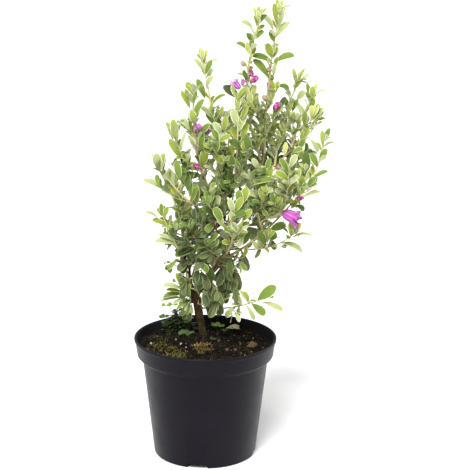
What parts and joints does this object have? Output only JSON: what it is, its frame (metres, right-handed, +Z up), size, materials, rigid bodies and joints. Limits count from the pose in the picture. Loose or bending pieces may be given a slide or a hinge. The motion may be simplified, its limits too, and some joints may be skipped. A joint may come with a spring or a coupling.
{
  "type": "potted texas sage",
  "caption": "Bushy flowering texas sage in a round dark nursery pot, with forked woody boughs, rounded grey-green leaves and violet bell flowers.",
  "frame": {"origin": "middle of the pot's flat underside", "axes": "+Z up along the pot's axis, -Y towards the side that the picture shows, +X to its right"},
  "size_m": [0.2328, 0.1746, 0.5442],
  "materials": {
    "plastic": "dark grey moulded plastic, satin",
    "soil": "moist dark potting compost with moss",
    "bark": "thin brown bark, matt",
    "foliage": "soft felted grey-green leaves",
    "petal": "thin violet petals"
  },
  "bodies": {
    "root": {"pot": "plastic", "soil": "soil", "trunk": "bark", "right_bough": "bark", "left_bough": "bark", "centre_bough": "bark", "right_arm": "bark", "back_bough": "bark", "rear_bough": "bark", "diagonal_bough": "bark", "high_bough": "bark", "right_high_bough": "bark", "top_leader": "foliage", "second_leader": "foliage", "right_rear_shoot": "foliage", "right_tall_shoot": "foliage", "right_outer_shoot": "foliage", "arm_end_shoot": "foliage", "arm_flower_twig": "foliage", "arm_drooping_leaves": "foliage", "arm_inner_shoot": "foliage", "arm_front_shoot": "foliage", "front_leader": "foliage", "centre_inner_shoot": "foliage", "centre_front_shoot": "foliage", "front_low_shoot": "foliage", "left_tall_leader": "foliage", "left_leader": "foliage", "left_outer_shoot": "foliage", "left_side_shoot": "foliage", "far_left_shoot": "foliage", "low_left_shoot": "foliage", "left_rear_shoot": "foliage", "left_inner_shoot": "foliage", "left_hanging_leaves": "foliage", "left_front_leaves": "foliage", "left_foot_leaves": "foliage", "foot_sprig": "foliage", "right_hanging_leaves": "foliage", "front_hanging_leaves": "foliage", "centre_low_shoot": "foliage", "low_rear_shoot": "foliage", "rear_left_shoot": "foliage", "rear_centre_shoot": "foliage", "rear_right_shoot": "foliage", "rear_outer_shoot": "foliage", "rear_low_shoot": "foliage", "rear_inner_shoot": "foliage"}
  },
  "joints": []
}
